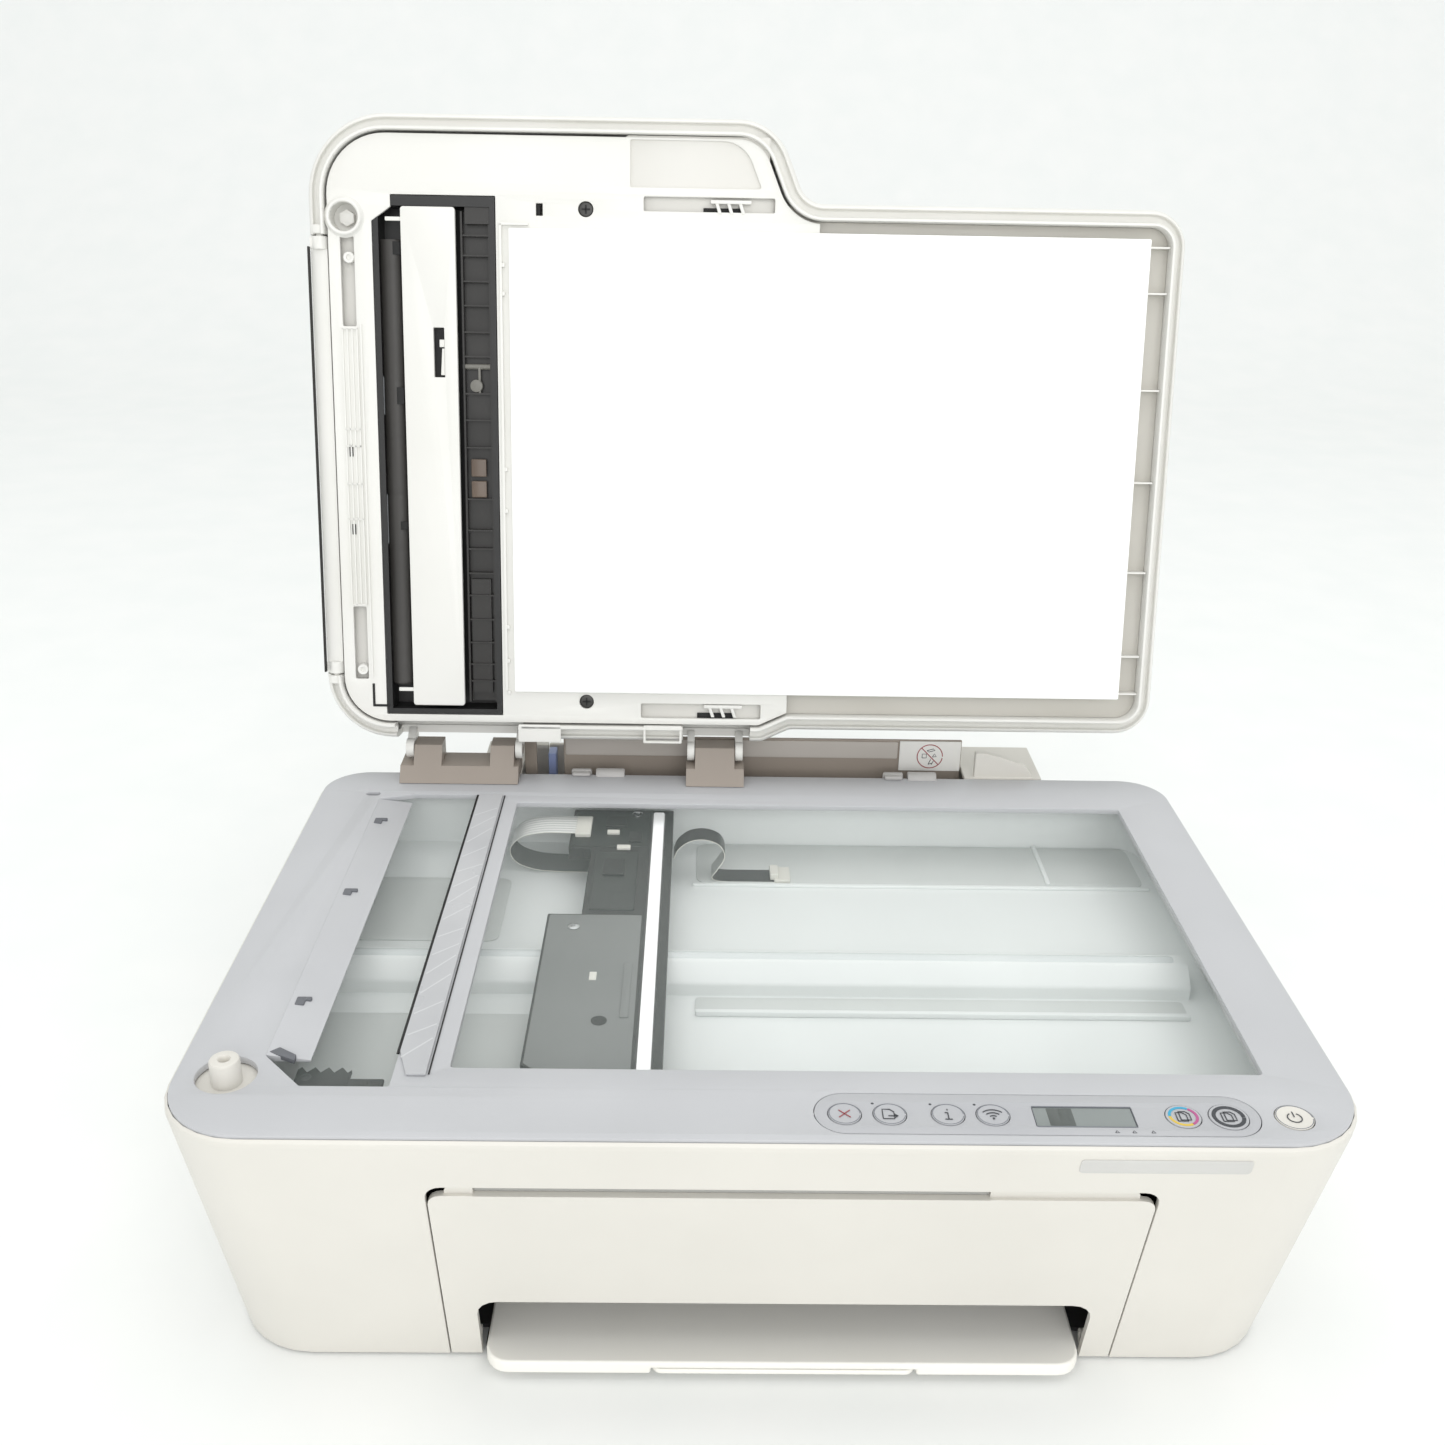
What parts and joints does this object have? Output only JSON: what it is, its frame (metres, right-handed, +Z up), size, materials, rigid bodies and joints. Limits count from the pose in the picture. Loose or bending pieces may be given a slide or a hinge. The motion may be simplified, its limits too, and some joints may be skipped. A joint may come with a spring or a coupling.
{
  "type": "inkjet printer",
  "caption": "All-in-one inkjet printer with a flat-bed scanner, an opening lid that holds a document feeder, a front cartridge door, rear paper slot and sliding output tray.",
  "frame": {"origin": "on the floor plane, under the middle of the printer's box with the lid standing open", "axes": "+X to the printer's right seen from the front, +Y to its back, +Z up"},
  "size_m": [0.4276, 0.3925, 0.4431],
  "materials": {
    "white_casing": "fine moulded texture",
    "grey_bezel": "satin",
    "taupe_fittings": "satin",
    "black_inner": "satin",
    "dark_grey_inner": "satin",
    "clear_glass": "polished",
    "panel_film": "semi-gloss",
    "tub_plastic": "matte",
    "steel": "rolled",
    "rubber": "matte",
    "white_film": "matte",
    "circuit_board": "solder mask",
    "light_guide": "polished",
    "blue_guide": "satin",
    "display_glass": "gloss",
    "dark_ribbon": "film"
  },
  "bodies": {
    "base": {"base_shell": "white_casing", "base_pan": "dark_grey_inner", "scanner_bezel": "grey_bezel", "scan_glass": "clear_glass", "feeder_glass": "clear_glass", "glass_divider": "panel_film", "lid_post": "white_casing", "scanner_tub": "tub_plastic", "scan_rack": "black_inner", "scan_ribbon_white": "white_film", "scan_ribbon_dark": "dark_ribbon", "panel_overlay": "panel_film", "display_window": "display_glass", "chassis": "steel", "carriage_belt": "rubber", "carriage_motor": "steel", "main_board": "circuit_board", "power_inlet": "black_inner", "usb_socket": "steel", "rear_housing": "white_casing", "hinge_bracket_left": "taupe_fittings", "hinge_bracket_right": "taupe_fittings"},
    "scan_head": {"scan_carriage": "black_inner", "light_bar": "light_guide"},
    "scan_gear": {"scan_pinion": "black_inner"},
    "door": {"cartridge_door": "white_casing"},
    "tray": {"output_tray": "grey_bezel"},
    "extender": {"tray_extender": "grey_bezel"},
    "ink_carriage": {"print_carriage": "black_inner", "cartridge_black": "black_inner", "cartridge_colour": "black_inner"},
    "motor_wheel": {"motor_pulley": "dark_grey_inner"},
    "idler_wheel": {"idler_pulley": "dark_grey_inner"},
    "feed_shaft": {"feed_roller": "rubber"},
    "output_shaft": {"output_roller": "rubber"},
    "pick_shaft": {"pick_roller": "rubber"},
    "support": {"paper_support": "white_casing"},
    "shield": {"input_shield": "taupe_fittings"},
    "guide_left": {"paper_guide_left": "blue_guide"},
    "guide_right": {"paper_guide_right": "white_casing"},
    "lid": {"lid_cover": "white_casing", "lid_frame": "white_casing", "scan_backing": "white_film", "feeder_path": "black_inner", "feeder_pressure_bar": "white_casing", "feeder_housing": "white_casing", "feeder_chute": "black_inner", "feeder_input_tray": "white_casing"},
    "lid_flap": {"feeder_cover": "white_casing"},
    "feeder_drive": {"feeder_roller": "rubber"},
    "feeder_pick": {"feeder_pick_roller": "rubber"},
    "sheet_guide_rear": {"feeder_guide_rear": "white_casing"},
    "sheet_guide_front": {"feeder_guide_front": "white_casing"},
    "cancel_button": {"cancel_button": "grey_bezel"},
    "resume_button": {"resume_button": "grey_bezel"},
    "info_button": {"info_button": "grey_bezel"},
    "wireless_button": {"wireless_button": "grey_bezel"},
    "colour_copy_button": {"colour_copy_button": "grey_bezel"},
    "black_copy_button": {"black_copy_button": "grey_bezel"},
    "power_button": {"power_button": "white_casing"}
  },
  "joints": [
    {"name": "scan_slide", "type": "slide", "parent": "base", "child": "scan_head", "axis": [1, 0, 0], "range_m": [-0.106, 0.225], "deforming": ["scan_ribbon_white", "scan_ribbon_dark"]},
    {"name": "pinion_spin", "type": "hinge", "parent": "scan_head", "child": "scan_gear", "pos_m": [-0.065, -0.1699, 0.11427], "axis": [0, 1, 0], "range_deg": [-1095, 2319]},
    {"name": "door_hinge", "type": "hinge", "parent": "base", "child": "door", "pos_m": [0.035, -0.16096, 0.008], "axis": [1, 0, 0], "range_deg": [0, 55]},
    {"name": "tray_slide", "type": "slide", "parent": "base", "child": "tray", "axis": [0, -1, 0], "range_m": [0, 0.08]},
    {"name": "extender_slide", "type": "slide", "parent": "tray", "child": "extender", "axis": [0, -1, 0], "range_m": [0, 0.08]},
    {"name": "print_slide", "type": "slide", "parent": "base", "child": "ink_carriage", "axis": [1, 0, 0], "range_m": [-0.27, 0.008]},
    {"name": "motor_spin", "type": "hinge", "parent": "base", "child": "motor_wheel", "pos_m": [0.183, -0.0169, 0.068], "axis": [0, 1, 0], "range_deg": [-100, 2600]},
    {"name": "idler_spin", "type": "hinge", "parent": "base", "child": "idler_wheel", "pos_m": [-0.179, -0.0169, 0.068], "axis": [0, 1, 0], "range_deg": [-100, 2600]},
    {"name": "feed_spin", "type": "hinge", "parent": "base", "child": "feed_shaft", "pos_m": [0.035, 0.0051, 0.03], "axis": [1, 0, 0], "continuous": true},
    {"name": "output_spin", "type": "hinge", "parent": "base", "child": "output_shaft", "pos_m": [0.035, -0.1029, 0.024], "axis": [1, 0, 0], "continuous": true},
    {"name": "pick_spin", "type": "hinge", "parent": "base", "child": "pick_shaft", "pos_m": [0.035, 0.1001, 0.06], "axis": [1, 0, 0], "continuous": true},
    {"name": "support_tilt", "type": "hinge", "parent": "base", "child": "support", "pos_m": [0.035, 0.1356, 0.026], "axis": [-1, 0, 0], "range_deg": [0, 20]},
    {"name": "shield_tilt", "type": "hinge", "parent": "base", "child": "shield", "pos_m": [0.035, 0.1101, 0.112], "axis": [-1, 0, 0], "range_deg": [0, 10]},
    {"name": "paper_guide_slide", "type": "slide", "parent": "base", "child": "guide_left", "axis": [1, 0, 0], "range_m": [0, 0.055]},
    {"name": "paper_guide_right_slide", "type": "slide", "parent": "base", "child": "guide_right", "axis": [1, 0, 0], "range_m": [-0.055, 0]},
    {"name": "lid_hinge", "type": "hinge", "parent": "base", "child": "lid", "pos_m": [0.035, 0.0958, 0.1434], "axis": [1, 0, 0], "range_deg": [0, 100.8]},
    {"name": "feeder_cover_hinge", "type": "hinge", "parent": "lid", "child": "lid_flap", "pos_m": [-0.206, 0.11625, 0.28477], "axis": [0, 0.1874, 0.9823], "range_deg": [0, 95]},
    {"name": "feeder_pick_spin", "type": "hinge", "parent": "lid", "child": "feeder_pick", "pos_m": [-0.105, 0.15554, 0.27728], "axis": [0, -0.1874, -0.9823], "continuous": true},
    {"name": "feeder_roller_spin", "type": "hinge", "parent": "lid", "child": "feeder_drive", "pos_m": [-0.154, 0.12215, 0.28365], "axis": [0, -0.1874, -0.9823], "continuous": true},
    {"name": "sheet_guide_slide", "type": "slide", "parent": "lid", "child": "sheet_guide_rear", "axis": [0, 0.1874, 0.9823], "range_m": [0, 0.045]},
    {"name": "sheet_guide_front_slide", "type": "slide", "parent": "lid", "child": "sheet_guide_front", "axis": [0, 0.1874, 0.9823], "range_m": [-0.045, 0]},
    {"name": "cancel_button_press", "type": "slide", "parent": "base", "child": "cancel_button", "axis": [0, 0, -1], "range_m": [0, 0.0012], "stiffness_N_per_m": 300, "springref_m": -0.0005},
    {"name": "resume_button_press", "type": "slide", "parent": "base", "child": "resume_button", "axis": [0, 0, -1], "range_m": [0, 0.0012], "stiffness_N_per_m": 300, "springref_m": -0.0005},
    {"name": "info_button_press", "type": "slide", "parent": "base", "child": "info_button", "axis": [0, 0, -1], "range_m": [0, 0.0012], "stiffness_N_per_m": 300, "springref_m": -0.0005},
    {"name": "wireless_button_press", "type": "slide", "parent": "base", "child": "wireless_button", "axis": [0, 0, -1], "range_m": [0, 0.0012], "stiffness_N_per_m": 300, "springref_m": -0.0005},
    {"name": "colour_copy_button_press", "type": "slide", "parent": "base", "child": "colour_copy_button", "axis": [0, 0, -1], "range_m": [0, 0.0012], "stiffness_N_per_m": 300, "springref_m": -0.0005},
    {"name": "black_copy_button_press", "type": "slide", "parent": "base", "child": "black_copy_button", "axis": [0, 0, -1], "range_m": [0, 0.0012], "stiffness_N_per_m": 300, "springref_m": -0.0005},
    {"name": "power_button_press", "type": "slide", "parent": "base", "child": "power_button", "axis": [0, 0, -1], "range_m": [0, 0.0012], "stiffness_N_per_m": 300, "springref_m": -0.0005}
  ],
  "couplings": [
    {"joint": "pinion_spin", "follows": "scan_slide", "rad_per_m": 179.52},
    {"joint": "motor_spin", "follows": "print_slide", "rad_per_m": -166.67},
    {"joint": "idler_spin", "follows": "print_slide", "rad_per_m": -166.67},
    {"joint": "output_spin", "follows": "feed_spin", "ratio": 1.5},
    {"joint": "paper_guide_right_slide", "follows": "paper_guide_slide", "ratio": -1},
    {"joint": "feeder_roller_spin", "follows": "feeder_pick_spin", "ratio": -2},
    {"joint": "sheet_guide_front_slide", "follows": "sheet_guide_slide", "ratio": -1}
  ]
}
